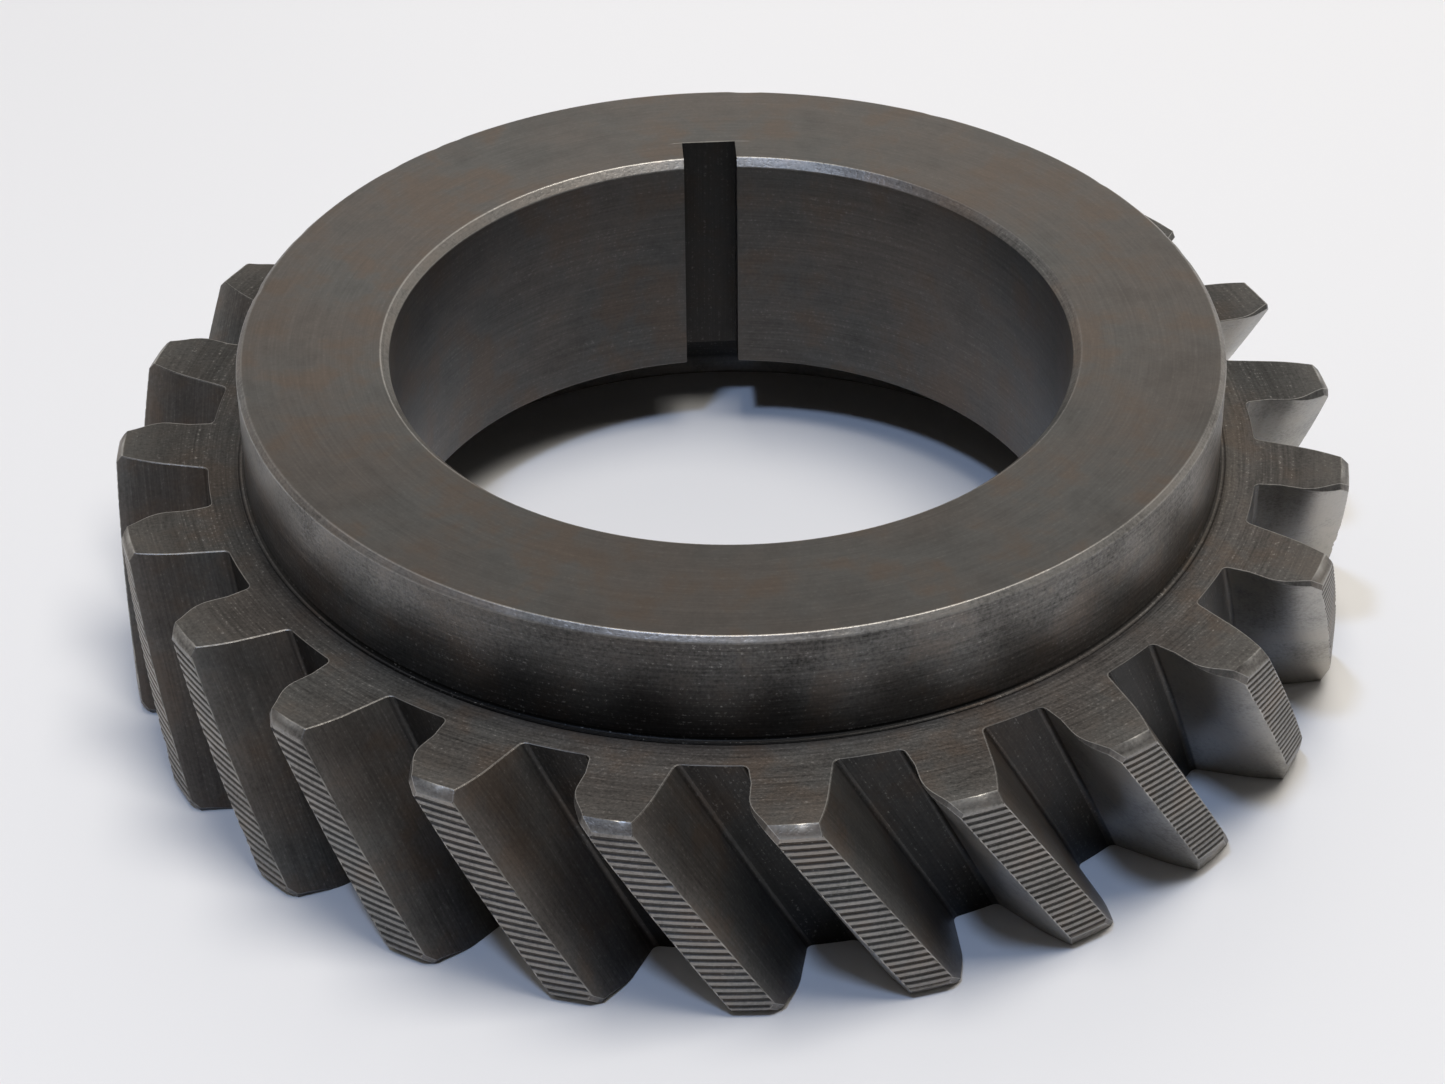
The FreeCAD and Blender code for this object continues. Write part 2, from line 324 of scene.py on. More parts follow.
def bevel_columns(outline, normal, side, tip_half, width, tip_width, cut):
    """The columns across the bevel on one side of a tooth's end face, from its edge
    inwards, as radii, angles from the tooth's middle, and drops below the face."""
    inner = outline - width * normal
    radius = np.stack([np.abs(outline), np.abs(inner)], axis=1)
    back = cut / np.abs(outline)
    angle = side * np.stack([np.angle(outline) - back, np.angle(inner) - back], axis=1)
    drop = np.stack([width, 0 * width], axis=1)
    tip = (
        [TIP_RADIUS, TIP_RADIUS],
        [side * tip_half, side * (tip_half - tip_width / TIP_RADIUS)],
        [tip_width, 0.0],
    )
    tables = (
        np.concatenate([[first], rest]) for first, rest in zip(tip, (radius, angle, drop))
    )
    return [
        table[:, :1] * (1 - BEVEL_SHARES) + table[:, 1:] * BEVEL_SHARES for table in tables
    ]


def end_grid(end, chamfer, slope, bevels):
    """The end face of one tooth with its bevels.

    end is +1 for the upper face and -1 for the rear one.  Rows go from the tip land to
    the root, columns across the tooth; the first and last columns are its edges.
    bevels holds the greatest width of the bevel on the lower and the higher angle side.
    Returns radii, angles from the tooth's middle, and heights.
    """
    outline, normal = flank_outline(chamfer)
    tip_half = half_tooth(TIP_RADIUS) - LONG_EDGE / TIP_RADIUS
    face = FACE_WIDTH if end > 0 else 0.0

    radius_at = np.abs(outline)
    growth = smooth_step(radius_at, BASE_RADIUS + BEVEL_START, TIP_RADIUS - BEVEL_FULL)
    cuts = (root_cut(radius_at) if end > 0 else 0.0, 0.0)
    low_side, high_side = (
        bevel_columns(
            outline, normal, side, tip_half, BURR + (bevel - BURR) * growth, bevel, cut
        )
        for side, bevel, cut in zip((-1, 1), bevels, cuts)
    )
    inside = np.linspace(0, 1, TOOTH_COLUMNS + 1)[1:-1]
    share = np.concatenate([[GUARD_SHARE], inside, [1 - GUARD_SHARE]])
    radius, angle, drop = (
        np.concatenate([
            low, low[:, -1:] * (1 - share) + high[:, -1:] * share, high[:, ::-1]
        ], axis=1)
        for low, high in zip(low_side, high_side)
    )
    cone = np.maximum(radius - (TIP_RADIUS - chamfer), 0) * slope
    height = face - end * (cone + drop)
    return radius, angle, height


def ridge_cut(height):
    """How far the turned ridges cut into a tip land at a height."""
    phase = (height / RIDGE_PITCH) % 1.0
    land_end, floor_start, floor_end = RIDGE_STEPS
    fall = smooth_step(phase, land_end, floor_start)
    rise = smooth_step(phase, floor_end, 1.0)
    return RIDGE_DEPTH * fall * (1 - rise)


def soot(azimuth):
    """Painted shade on the tooth faces round the gear; least at the front."""
    return 0.72 - 0.58 * facing(azimuth, 280)


def end_tone(radius, azimuth, chamfer):
    """The tone of a tooth's end face: worn bright lines along its edges and along both sides
    of the tip chamfer, and painted shade that changes round the gear and grows outwards."""
    crease = TIP_RADIUS - chamfer
    on_chamfer = radius > crease + BURR
    wear_and_sheen = np.where(on_chamfer, 0.25, 0.12 * smooth_step(radius, ROOT_RADIUS + 2, crease))
    wear_and_sheen = np.maximum(wear_and_sheen, 0.75 * near(radius, TIP_RADIUS, 2 * LONG_EDGE))
    wear_and_sheen = np.maximum(wear_and_sheen, 1.1 * near(radius, crease, GUARD))
    bevel = len(BEVEL_SHARES)
    wear_and_sheen[:, :bevel] = LOW_BEVEL_WORN
    wear_and_sheen[:, -bevel:] = HIGH_BEVEL_WORN[::-1]
    outer = smooth_step(radius, ROOT_RADIUS - 1, TIP_RADIUS - 2)
    # Painted shade: darker away from the front of the gear and towards the tips.
    face_shade = soot(azimuth) + 0.45 * outer * (1 - soot(azimuth))
    return tones(wear_and_sheen, FACE_ROUGH, np.where(on_chamfer, 0.25, face_shade))


def add_tooth(surface, tooth, wear):
    """One tooth and the bottom of the space that follows it.  wear scales its acute
    bevels.  Returns the two lines where its end faces meet the turned body's rings."""
    azimuth = tooth_middle(tooth, FACE_WIDTH / 2)
    chamfer = TIP_CHAMFER + CHAMFER_SWING * math.cos(azimuth - math.radians(300))
    rear_slope = REAR_SLOPE + STEEPER * facing(azimuth, 325, 6)
    acute = ACUTE_BEVEL * wear
    uppers = end_grid(1, chamfer, UPPER_SLOPE, (acute, BURR))
    rears = end_grid(-1, chamfer, rear_slope, (BURR, acute))

    rings = []
    for radius, angle, height in (uppers, rears):
        points = polar(radius, tooth_middle(tooth, height) + angle, height)
        surface.grid(points, face_grain(points), end_tone(radius, azimuth, chamfer))
        rings.append(points[-1])

    add_tip_land(surface, tooth, uppers, rears)
    for side in (-1, 1):
        add_flank(surface, tooth, side, uppers, rears)
    add_root(surface, tooth)
    return rings


def column_points(tooth, side_column, uppers, rears, rows, levels):
    """Points up the side of a tooth under given rows of its end faces."""
    share = levels[:, None]
    top_height = uppers[2][rows, side_column]
    rear_height = rears[2][rows, side_column]
    height = rear_height * (1 - share) + top_height * share
    radius = uppers[0][rows, side_column] + 0 * share
    angle = rears[1][rows, side_column] * (1 - share) + uppers[1][rows, side_column] * share
    return polar(radius, tooth_middle(tooth, height) + angle, height)


def tip_levels(uppers, rears):
    """Heights of the rows of points up a tip land, four to each ridge."""
    lowest = rears[2][0].min() + TIP_MARGIN
    highest = uppers[2][0].max() - TIP_MARGIN
    first = math.ceil(lowest / RIDGE_PITCH)
    last = math.floor(highest / RIDGE_PITCH)
    steps = np.array([0.0, *RIDGE_STEPS])
    heights = (np.arange(first - 1, last + 1)[:, None] + steps).ravel() * RIDGE_PITCH
    return heights[(heights > lowest) & (heights < highest)]


def add_tip_land(surface, tooth, uppers, rears):
    """The ridged outer face of a tooth, and the fine bevels along its long edges."""
    inner = tip_levels(uppers, rears)
    columns = uppers[0].shape[1]
    height = np.empty((len(inner) + 2, columns))
    height[0] = rears[2][0]
    height[-1] = uppers[2][0]
    least = height[0] + ROW_GAP * np.arange(1, len(inner) + 1)[:, None]
    most = height[-1] - ROW_GAP * np.arange(len(inner), 0, -1)[:, None]
    height[1:-1] = np.clip(inner[:, None], least, most)
    share = (height - height[0]) / (height[-1] - height[0])
    across = rears[1][0] * (1 - share) + uppers[1][0] * share
    angle = tooth_middle(tooth, height) + across
    cut = ridge_cut(height)
    cut[(0, -1), :] = 0
    points = polar(TIP_RADIUS - cut, angle, height)
    deep = cut / RIDGE_DEPTH
    # Worn ridge tops, and painted shade in the grooves between them.
    surface.grid(points, points, tones(RIDGE_WORN * (1 - deep), 0.4, GROOVE_SHADE * deep))

    levels = np.linspace(0, 1, FLANK_LEVELS + 1)
    for column in (0, -1):
        line = column_points(tooth, column, uppers, rears, np.array([1]), levels)[:, 0]
        fine = points[:, column]
        surface.stitch((fine, fine), (line, line), WORN_EDGE)


def add_flank(surface, tooth, side, uppers, rears):
    """One flank, from the tip land's edge to the root fillet's end."""
    rows = np.arange(1, uppers[0].shape[0])
    column = 0 if side < 0 else -1
    levels = np.linspace(0, 1, FLANK_LEVELS + 1)
    points = column_points(tooth, column, uppers, rears, rows, levels)
    steps = np.linalg.norm(np.diff(points, axis=1), axis=-1)
    across = np.concatenate([np.zeros((len(levels), 1)), np.cumsum(steps, axis=1)], axis=1)
    along = points[..., 2] / math.cos(HELIX_ANGLE)
    own = np.full_like(along, OWN_MARKS * tooth + SIDE_MARKS * side)
    grain = np.stack([along, own, across], axis=-1)
    surface.grid(points, grain, flank_tone(side, across))


def flank_tone(side, across):
    """The tone of a flank by the distance from its tip edge.  The lower angle side has run
    against the mate and is polished, with a painted sheen on top; the other side has a painted
    sheen near its tip edge.  The flanks grow darker towards the root with painted shade, and
    the root fillet is darkened with painted shade.  A pale line follows the involute's start."""
    # Painted sheen near the tip edge; on the lower angle side also wear from the mate.
    polish_and_sheen = 0.14 * near(across, 0, 1.6) if side > 0 else 0.52 + 0.2 * near(across, 0, 3.0)
    wear_and_sheen = np.maximum(0.7 * near(across, 0, GUARD / 2), polish_and_sheen)
    depth = smooth_step(across, 0.3, 4.0)
    # Painted shade: darker towards the root.
    dark = 0.08 + 0.26 * depth if side > 0 else 0.08 * depth
    row = np.arange(across.shape[1])
    before_fillet = len(row) - FILLET_ROWS - 1
    dark = np.where(row == before_fillet, dark - 0.08, dark)
    # Painted shade in the root fillet.
    in_fillet = row > before_fillet + 1
    return tones(np.where(in_fillet, 0.0, wear_and_sheen), 0.25, np.where(in_fillet, 0.74, dark))


def space_angles(share):
    """Angles across the bottom of a tooth space, from the middle of the tooth before, at
    a share of the way from the rear face to the upper one."""
    outline, _ = flank_outline(TIP_CHAMFER)
    start = np.angle(outline[-1])
    place = np.linspace(0, 1, ROOT_COLUMNS + 1)
    return start + (PITCH - 2 * start + share * ROOT_CUT / ROOT_RADIUS) * place


def add_root(surface, tooth):
    """The bottom of the space after a tooth."""
    share = np.linspace(0, 1, FLANK_LEVELS + 1)[:, None]
    height = BURR + (FACE_WIDTH - 2 * BURR) * share
    points = polar(ROOT_RADIUS, tooth_middle(tooth, height) + space_angles(share), height)
    along = points[..., 2] / math.cos(HELIX_ANGLE)
    across = np.broadcast_to(np.arange(ROOT_COLUMNS + 1) * ROOT_COLUMN_WIDTH, along.shape)
    own = np.full_like(along, OWN_MARKS * tooth + SPACE_MARKS)
    grain = np.stack([along, own, across], axis=-1)
    # Painted shade at the bottom of the space between the teeth.
    surface.grid(points, grain, tones(0.0, 0.3, SPACE_SHADE - 0.1 * share + 0 * along))


def add_root_edge(surface, tooth, end):
    """The worn bevel between the bottom of the space after a tooth and an end face.
    Returns its line on the face."""
    face = FACE_WIDTH if end > 0 else 0.0
    share = BEVEL_SHARES[:, None]
    height = face - end * BURR * (1 - share)
    angle = space_angles(1.0 if end > 0 else 0.0)
    points = polar(ROOT_RADIUS - share * BURR, tooth_middle(tooth, height) + angle, height)
    surface.grid(points, face_grain(points), ROOT_EDGE)
    return points[-1]


def add_teeth(surface, random):
    """All the teeth.  Returns the closed rings where the upper and rear end faces go on
    towards the hub, each with its first point repeated at the end."""
    rings = ([], [])
    bevel = len(BEVEL_SHARES)
    for tooth in range(TEETH):
        tooth_lines = add_tooth(surface, tooth, random.uniform(0.75, 1.2))
        for ring, tooth_line, end in zip(rings, tooth_lines, (1, -1)):
            ring.append(tooth_line[bevel - 1:-bevel])
            ring.append(add_root_edge(surface, tooth, end)[:-1])
    lines = [np.concatenate(ring) for ring in rings]
    return [np.concatenate([line, line[:1]]) for line in lines]


# ---------------------------------------------------------------- turned body


def signed_columns():
    """The turned body's columns, counted both ways from the keyway's middle."""
    column = np.arange(COLUMNS + 1)
    return np.where(column <= COLUMNS / 2, column, column - COLUMNS)


def column_angles(radius):
    """Angles of the columns at a radius, once round from the keyway's middle.  Near the
    keyway they gather so that one column follows each of its sides."""
    spread = 3 * KEY_COLUMNS
    step = FULL_TURN / COLUMNS
    side = math.asin(KEY_HALF_WIDTH / radius)
    signed = signed_columns()
    away = np.abs(signed)
    gathered = np.interp(away, [0, KEY_COLUMNS, spread], [0, side, spread * step])
    offset = np.sign(signed) * np.where(away <= spread, gathered, away * step)
    return math.pi / 2 + np.where(np.arange(COLUMNS + 1) > COLUMNS / 2, FULL_TURN, 0) + offset


def key_line(height):
    """The row that follows the keyway's flat bottom, and a circle beyond its sides."""
    points = polar(KEY_CORNER, column_angles(KEY_CORNER), height)
    signed = signed_columns()
    inside = np.abs(signed) <= KEY_COLUMNS
    points[inside, 0] = -signed[inside] / KEY_COLUMNS * KEY_HALF_WIDTH
    points[inside, 1] = KEY_BOTTOM
    return points


def straight(start, end, steps):
    """Points (radius, height) evenly along a straight line, both ends included."""
    share = np.linspace(0, 1, steps + 1)[:, None]
    return np.array(start) * (1 - share) + np.array(end) * share


def arc(centre, radius, start, end, steps):
    """Points (radius, height) of an arc in the half section; angles in degrees."""
    angles = np.radians(np.linspace(start, end, steps + 1))
    return np.array(centre) + radius * np.stack([np.cos(angles), np.sin(angles)], axis=-1)


def path(*stretches):
    """Stretches of a half section joined end to end, without doubled points."""
    points = np.concatenate(stretches)
    steps = np.linalg.norm(np.diff(points, axis=0), axis=1)
    return points[np.concatenate([[True], steps > SAME])]


def chain(corners, steps):
    """A half section through corners (radius, height).  A fine bevel takes the place of
    each inner corner, with a row on either side where its brightness ends."""
    rows = [corners[0]]
    for before, corner, after, count in zip(corners, corners[1:], corners[2:], steps):
        corner = np.array(corner)
        ways = [np.subtract(other, corner) for other in (before, after)]
        back, on = (way / np.linalg.norm(way) for way in ways)
        rows.extend(straight(rows[-1], corner + GUARD * back, count)[1:])
        rows.extend([corner + BURR * back, corner + BURR * on, corner + GUARD * on])
    rows.extend(straight(rows[-1], corners[-1], steps[-1])[1:])
    return np.array(rows)


def section_grain(points, section):
    """Marks that run round the axis, counted along a half section."""
    steps = np.linalg.norm(np.diff(section, axis=0), axis=1)
    across = np.concatenate([[0], np.cumsum(steps)])[:, None]
    return np.stack(
        [points[..., 0], points[..., 1], across + 0 * points[..., 0]], axis=-1
    )


def add_turned(surface, section, tone, first_line=None, last_line=None, window=False):
    """A turned stretch from a half section.  tone(radius, height, angle) gives the wear and
    the painted shade and highlight.
    A line given for the first or last row takes its place.  window leaves out the
    columns of the keyway."""
    angles = np.stack([column_angles(radius) for radius, _ in section])
    points = polar(section[:, :1], angles, section[:, 1:])
    if first_line is not None:
        points[0] = first_line
    if last_line is not None:
        points[-1] = last_line
    grain = section_grain(points, section)
    marks = tone(section[:, :1], section[:, 1:], angles)
    if window:
        kept = slice(KEY_COLUMNS, COLUMNS - KEY_COLUMNS + 1)
        points, grain, marks = points[:, kept], grain[:, kept], marks[:, kept]
    surface.grid(points, grain, marks)


def join_ring(surface, ring, radius, height, steps):
    """The flat ring between the teeth's end faces and the turned body."""
    angle = np.arctan2(ring[:-1, 1], ring[:-1, 0])
    first = np.argmin(np.abs((angle - math.pi / 2 + math.pi) % FULL_TURN - math.pi))
    ring = np.concatenate([ring[first:-1], ring[:first + 1]])
    start_angle = np.unwrap(np.arctan2(ring[:, 1], ring[:, 0]))
    start_radius = np.hypot(ring[:, 0], ring[:, 1])
    end_angle = column_angles(radius)
    share = np.linspace(0, 1, steps + 1)[:, None]
    points = polar(
        start_radius * (1 - share) + radius * share,
        start_angle * (1 - share) + end_angle * share,
        height,
    )
    azimuth = np.arctan2(points[..., 1], points[..., 0])
    # The ring takes the same painted shade round the gear as the tooth faces.
    surface.grid(points, face_grain(points), tones(0.03 * share, FACE_ROUGH, soot(azimuth)))


def add_hub(surface, upper_ring):
    """From the teeth's upper end faces over the hub to the keyway's outer line."""
    foot = HUB_RADIUS + HUB_FOOT
    groove = foot + 2 * FOOT_GROOVE
    join_ring(surface, upper_ring, groove, FACE_WIDTH, 5)

    chamfer_foot = (HUB_RADIUS, HEIGHT - HUB_CHAMFER)
    chamfer_top = (HUB_RADIUS - HUB_CHAMFER, HEIGHT)
    beside_key = (KEY_CORNER + GUARD, HEIGHT)
    bottom = (groove - FOOT_GROOVE, FACE_WIDTH - GROOVE_DEPTH)
    section = path(
        straight((groove, FACE_WIDTH), bottom, 1),
        straight(bottom, (foot, FACE_WIDTH), 1),
        arc((foot, FACE_WIDTH + HUB_FOOT), HUB_FOOT, 270, 180, 4),
        chain(
            [(HUB_RADIUS, FACE_WIDTH + HUB_FOOT), chamfer_foot, chamfer_top, beside_key],
            [12, 1, 8],
        ),
        straight(beside_key, (KEY_CORNER, HEIGHT), 1),
    )

    # Wear, with painted highlight and painted shade, round the hub.
    def wear(radius, height, angle):
        on_wall = (radius > HUB_RADIUS - SAME) & (height < HEIGHT - HUB_CHAMFER)
        on_face = height > HEIGHT - SAME
        on_chamfer = (height > HEIGHT - HUB_CHAMFER) & (radius > HUB_RADIUS - HUB_CHAMFER)
        on_fillet = (height < FACE_WIDTH + HUB_FOOT) & (radius < foot)
        in_groove = near(radius, bottom[0], FOOT_GROOVE / 2) * (height < FACE_WIDTH)
        by_key = np.abs(angle % FULL_TURN - math.pi / 2) < BY_KEY
        key_edge = near(radius, KEY_CORNER, GUARD) * by_key * on_face
        low_line, top_line = (
            near(np.hypot(radius - edge[0], height - edge[1]), 0, GUARD)
            for edge in (chamfer_foot, chamfer_top)
        )

        high = smooth_step(height, FACE_WIDTH + 2, HEIGHT - 1.5)
        highest = smooth_step(height, HEIGHT - 6, HEIGHT - 2)
        front_right = 0.5 + 0.5 * np.cos(angle - math.radians(310))
        # Wear and painted highlight: brighter patches high on the left and right of the wall,
        # and the chamfer brighter towards the front right.
        rubbed_and_highlight = 0.55 * facing(angle, 202, 5) * highest + 0.34 * facing(angle, 325, 2) * high
        wear_and_sheen = on_chamfer * (0.06 + 0.4 * front_right ** 2) + on_wall * rubbed_and_highlight
        wear_and_sheen = wear_and_sheen + 0.38 * top_line + 0.35 * low_line + 0.7 * key_edge

        wall_rough = 0.45 + 0.55 * high * front_right
        rough = on_wall * wall_rough + 0.05 * on_face + 0.5 * on_chamfer

        # Painted shade: the wall darker towards its foot and at the front, and the foot's
        # fillet and groove darkened.
        wall_dark = 0.27 - 0.15 * high + facing(angle, 255, 4) * (0.75 - 0.25 * high)
        dark = on_wall * wall_dark + on_face * face_film(angle)
        dark = dark + 0.6 * in_groove + 0.6 * on_fillet
        return tones(np.minimum(wear_and_sheen, 0.9), rough, dark)

    add_turned(surface, section, wear, last_line=key_line(HEIGHT))


def face_film(angle):
    """How dark the hub face is round the gear: an even oil film, darker towards the front and
    lighter towards the back left.
    """
    return 0.32 + 0.16 * facing(angle, 265, 1.5) - 0.14 * facing(angle, 155, 2)


def bore_section():
    """The half section over the bore, between the circles round the keyway on the hub
    face and on the counterbore's floor, and the part of it that the keyway cuts."""
    mouth = BORE_RADIUS + BORE_CHAMFER
    rows = chain(
        [
            (KEY_CORNER, HEIGHT), (mouth, HEIGHT), (BORE_RADIUS, HEIGHT - BORE_CHAMFER),
            (BORE_RADIUS, RECESS_DEPTH), (KEY_CORNER, RECESS_DEPTH),
        ],
        [KEY_DEPTH_ROWS, 1, 8, KEY_DEPTH_ROWS],
    )
    inside = (rows[:, 1] < HEIGHT - SAME) & (rows[:, 1] > RECESS_DEPTH + SAME)
    first, last = np.flatnonzero(inside)[[0, -1]]
    return rows, slice(first - 1, last + 2)


def add_bore(surface):
    """The bore and the parts of the two faces next to it, all but the keyway."""
    section, _ = bore_section()
    edges = (
        (BORE_RADIUS + BORE_CHAMFER, HEIGHT, 0.8),
        (BORE_RADIUS, HEIGHT - BORE_CHAMFER, 0.7),
        (BORE_RADIUS, RECESS_DEPTH, 0.35),
    )

    # Wear, with painted highlight and painted shade, round the bore.
    def wear(radius, height, angle):
        wear_and_sheen = 0 * angle
        for edge_radius, edge_height, brightness in edges:
            line = near(np.hypot(radius - edge_radius, height - edge_height), 0, GUARD)
            wear_and_sheen = wear_and_sheen + brightness * line
        on_chamfer = (radius > BORE_RADIUS) & (radius < BORE_RADIUS + BORE_CHAMFER)
        on_chamfer = on_chamfer & (height > HEIGHT - BORE_CHAMFER)
        on_wall = (radius < BORE_RADIUS + SAME) & (height < HEIGHT - BORE_CHAMFER)
        below = height < RECESS_DEPTH + SAME
        on_face = height > HEIGHT - SAME
        # Wear and painted highlight: the bore's edges and chamfer brighter towards the back
        # left.
        rubbed_and_highlight = 0.2 + 0.8 * facing(angle, 140)
        wear_and_sheen = np.minimum((wear_and_sheen + 0.4 * on_chamfer) * rubbed_and_highlight, 0.8)
        # Painted shade: the bore's wall darker towards the back, and the counterbore dark.
        wall_dark = 0.08 + 0.55 * facing(angle, 90, 0.6)
        dark = on_wall * wall_dark + on_face * face_film(angle) + RECESS_SHADE * below
        return tones(wear_and_sheen, 0.05 + 0.1 * on_wall + 0.45 * on_chamfer, dark)

    add_turned(surface, section, wear, window=True)


def add_keyway(surface):
    """The keyway's flat bottom and its two sides."""
    rows, cut = bore_section()
    inner = rows[cut]
    heights = inner[:, 1]
    across = np.linspace(-KEY_HALF_WIDTH, KEY_HALF_WIDTH, 2 * KEY_COLUMNS + 1)
    bottom = np.stack(np.broadcast_arrays(across, KEY_BOTTOM, heights[:, None]), axis=-1)
    surface.grid(bottom, bottom[..., [2, 1, 0]], KEYWAY_BOTTOM_SHADE)

    share = np.linspace(0, 1, KEY_DEPTH_ROWS + 1)
    guard = inner[:, :1] + GUARD - BURR
    radius = np.concatenate([KEY_CORNER * (1 - share) + guard * share, inner[:, :1]], axis=1)
    for side in (-1, 1):
        deep = np.sqrt(radius ** 2 - KEY_HALF_WIDTH ** 2)
        wall = np.stack(
            np.broadcast_arrays(side * KEY_HALF_WIDTH, deep, heights[:, None]), axis=-1
        )
        wear_and_sheen = np.zeros(wall.shape[:2])
        wear_and_sheen[:2] = 0.6
        wear_and_sheen[:, -1] = 0.5
        # Painted shade on the keyway's sides.
        surface.grid(wall, wall[..., [2, 0, 1]], tones(wear_and_sheen, 0.0, 0.8))


def add_rear(surface, rear_ring):
    """From the keyway's outer line over the counterbore to the teeth's rear faces."""
    turn = RECESS_RADIUS - RECESS_FILLET
    rim = RECESS_RADIUS + RECESS_CHAMFER
    mouth_edge = (RECESS_RADIUS, RECESS_CHAMFER)
    section = path(
        straight((KEY_CORNER, RECESS_DEPTH), (turn, RECESS_DEPTH), 3),
        arc((turn, RECESS_DEPTH - RECESS_FILLET), RECESS_FILLET, 90, 0, 5),
        straight((RECESS_RADIUS, RECESS_DEPTH - RECESS_FILLET), mouth_edge, 3),
        straight(mouth_edge, (rim, 0), 1),
    )

    # Wear on the mouth's chamfer, and painted shade in the counterbore.
    def wear(radius, height, angle):
        mouth = (height < RECESS_CHAMFER + SAME) & (radius < rim + SAME)
        # Painted shade in the counterbore, all but its mouth's chamfer.
        return tones(0.4 * mouth + 0 * angle, 0.2, RECESS_SHADE * (1 - mouth))

    add_turned(surface, section, wear, first_line=key_line(RECESS_DEPTH))
    join_ring(surface, rear_ring, rim, 0.0, 4)


# ---------------------------------------------------------------- damage


def edge_dents(random):
    """Small knocks along the edges, as (centre, radius, push)."""
    dents = []
    hub_edge = HUB_RADIUS - HUB_CHAMFER / 2
    for _ in range(HUB_DENTS):
        angle = random.uniform(0, FULL_TURN)
        centre = polar(hub_edge, angle, HEIGHT - HUB_CHAMFER / 2)
        depth = random.uniform(0.03, 0.08)
        push = polar(-0.7 * depth, angle, -0.7 * depth)
        dents.append((centre, random.uniform(0.7, 1.4), push))
    for _ in range(TOOTH_DENTS):
        tooth = random.randint(0, TEETH)
        height = random.uniform(0.5, FACE_WIDTH - 0.3)
        side = random.choice([-1, 1])
        angle = tooth_middle(tooth, height) + side * half_tooth(TIP_RADIUS)
        centre = polar(TIP_RADIUS, angle, height)
        depth = random.uniform(0.05, 0.13)
        push = polar(-depth, angle, 0.0)
        dents.append((centre, random.uniform(0.4, 0.9), push))
    return dents


def dented(points, dents):
    """Points with each dent pressed into those near its centre."""
    moved = points.copy()
    for centre, radius, push in dents:
        distance = np.linalg.norm(points - centre, axis=1)
        close = distance < radius
        weight = (1 - (distance[close] / radius) ** 2) ** 2
        moved[close] += weight[:, None] * push
    return moved


# ---------------------------------------------------------------- mesh


def make_gear():
    random = np.random.RandomState(7)
    surface = Surface()
    upper_ring, rear_ring = add_teeth(surface, random)
    add_hub(surface, upper_ring)
    add_bore(surface)
    add_keyway(surface)
    add_rear(surface, rear_ring)
    points, grain, tone = surface.arrays()
    points = dented(points, edge_dents(random))

    mesh = bpy.data.meshes.new("gear_surface")
    mesh.from_pydata((points * MM).tolist(), [], surface.faces)
    corner_point = np.empty(len(mesh.loops), np.int32)
    mesh.loops.foreach_get("vertex_index", corner_point)
    for name, values in (("grain", grain), ("tone", tone)):
        attribute = mesh.attributes.new(name, "FLOAT_VECTOR", "CORNER")
        attribute.data.foreach_set("vector", values[corner_point].astype(np.float32).ravel())

    shell = bmesh.new()
    shell.from_mesh(mesh)
    bmesh.ops.remove_doubles(shell, verts=shell.verts, dist=WELD * MM)
    bmesh.ops.recalc_face_normals(shell, faces=shell.faces)
    open_edges = sum(1 for edge in shell.edges if len(edge.link_faces) != 2)
    print(f"gear: {len(shell.faces)} faces, {open_edges} open edges")
    shell.to_mesh(mesh)
    shell.free()
    mesh.shade_smooth()
    mesh.set_sharp_from_angle(angle=SHARPEST_SMOOTH)

    gear = bpy.data.objects.new("gear", mesh)
    bpy.context.scene.collection.objects.link(gear)
    return gear


# ---------------------------------------------------------------- material


class Nodes:
    """A short way to write the nodes of a material or a world."""

    def __init__(self, owner):
        owner.use_nodes = True
        self.tree = owner.node_tree
        self.tree.nodes.clear()

    def new(self, kind, settings=None, **inputs):
        node = self.tree.nodes.new("ShaderNode" + kind)
        for name, value in (settings or {}).items():
            setattr(node, name, value)
        for name, value in inputs.items():
            self.set(node, name.replace("_", " "), value)
        return node

    def set(self, node, name, value):
        socket = node.inputs[int(name) if name.isdigit() else name]
        if isinstance(value, bpy.types.NodeSocket):
            self.tree.links.new(value, socket)
        else:
            socket.default_value = value

    def math(self, operation, first, second, clamp=False):
        node = self.tree.nodes.new("ShaderNodeMath")
        node.operation = operation
        node.use_clamp = clamp
        self.set(node, "0", first)
        self.set(node, "1", second)
        return node.outputs[0]

    def plus(self, first, second):
        return self.math("ADD", first, second)

    def minus(self, first, second):
        return self.math("SUBTRACT", first, second)

    def times(self, first, second):
        return self.math("MULTIPLY", first, second)

    def scaled(self, vector, factors):
        node = self.tree.nodes.new("ShaderNodeVectorMath")
        node.operation = "MULTIPLY"
        self.set(node, "0", vector)
        self.set(node, "1", factors)
        return node.outputs[0]

    def noise(self, vector, scale, detail, roughness):
        node = self.new(
            "TexNoise", Vector=vector, Scale=scale, Detail=detail, Roughness=roughness
        )
        return node.outputs["Fac"]

    def remap(self, value, low, high, new_low=0.0, new_high=1.0):
        """A smooth step from new_low at low to new_high at high."""
        node = self.tree.nodes.new("ShaderNodeMapRange")
        node.interpolation_type = "SMOOTHSTEP"
        for name, number in zip(range(5), (value, low, high, new_low, new_high)):
            self.set(node, str(name), number)
        return node.outputs[0]

    def mix(self, share, first, second):
        node = self.tree.nodes.new("ShaderNodeMix")
        node.data_type = "RGBA"
        self.set(node, "0", share)
        self.set(node, "6", first)
        self.set(node, "7", second)
        return node.outputs[2]


